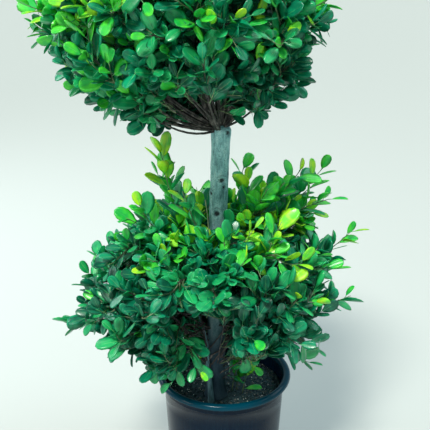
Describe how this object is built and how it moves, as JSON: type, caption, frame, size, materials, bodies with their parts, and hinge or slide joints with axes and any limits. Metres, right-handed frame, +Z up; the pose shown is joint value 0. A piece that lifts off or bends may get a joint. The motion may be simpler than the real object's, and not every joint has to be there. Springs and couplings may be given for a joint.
{
  "type": "potted ficus double ball topiary",
  "caption": "Small-leaved ficus trained as two dense balls of foliage on one bare pale trunk, standing in a filled round nursery pot.",
  "frame": {"origin": "centre of the pot's flat underside", "axes": "+Z up along the pot's axis, the side that the picture shows faces -Y"},
  "size_m": [0.7804, 0.6575, 1.4812],
  "materials": {
    "pot_plastic": "smooth dark blue-black moulded polyethylene",
    "potting_mix": "moist dark potting mix with pale grit",
    "trunk_bark": "smooth pale grey-green bark with small dark knots",
    "bough_bark": "dull grey-brown bark",
    "foliage": "glossy deep green leaves with bright new growth"
  },
  "bodies": {
    "root": {"pot": "pot_plastic", "potting_soil": "potting_mix", "trunk": "trunk_bark", "lower_bough_1": "bough_bark", "lower_bough_2": "bough_bark", "lower_bough_3": "bough_bark", "lower_bough_4": "bough_bark", "lower_bough_5": "bough_bark", "lower_bough_6": "bough_bark", "lower_bough_7": "bough_bark", "lower_bough_8": "bough_bark", "upper_bough_1": "bough_bark", "upper_bough_2": "bough_bark", "upper_bough_3": "bough_bark", "upper_bough_4": "bough_bark", "upper_bough_5": "bough_bark", "upper_bough_6": "bough_bark", "upper_bough_7": "bough_bark", "upper_bough_8": "bough_bark", "upper_bough_9": "bough_bark", "lower_foliage_1": "foliage", "lower_foliage_2": "foliage", "lower_foliage_3": "foliage", "lower_foliage_4": "foliage", "lower_foliage_5": "foliage", "lower_foliage_6": "foliage", "lower_foliage_7": "foliage", "lower_foliage_8": "foliage", "upper_foliage_1": "foliage", "upper_foliage_2": "foliage", "upper_foliage_3": "foliage", "upper_foliage_4": "foliage", "upper_foliage_5": "foliage", "upper_foliage_6": "foliage", "upper_foliage_7": "foliage", "upper_foliage_8": "foliage", "upper_foliage_9": "foliage"}
  },
  "joints": []
}
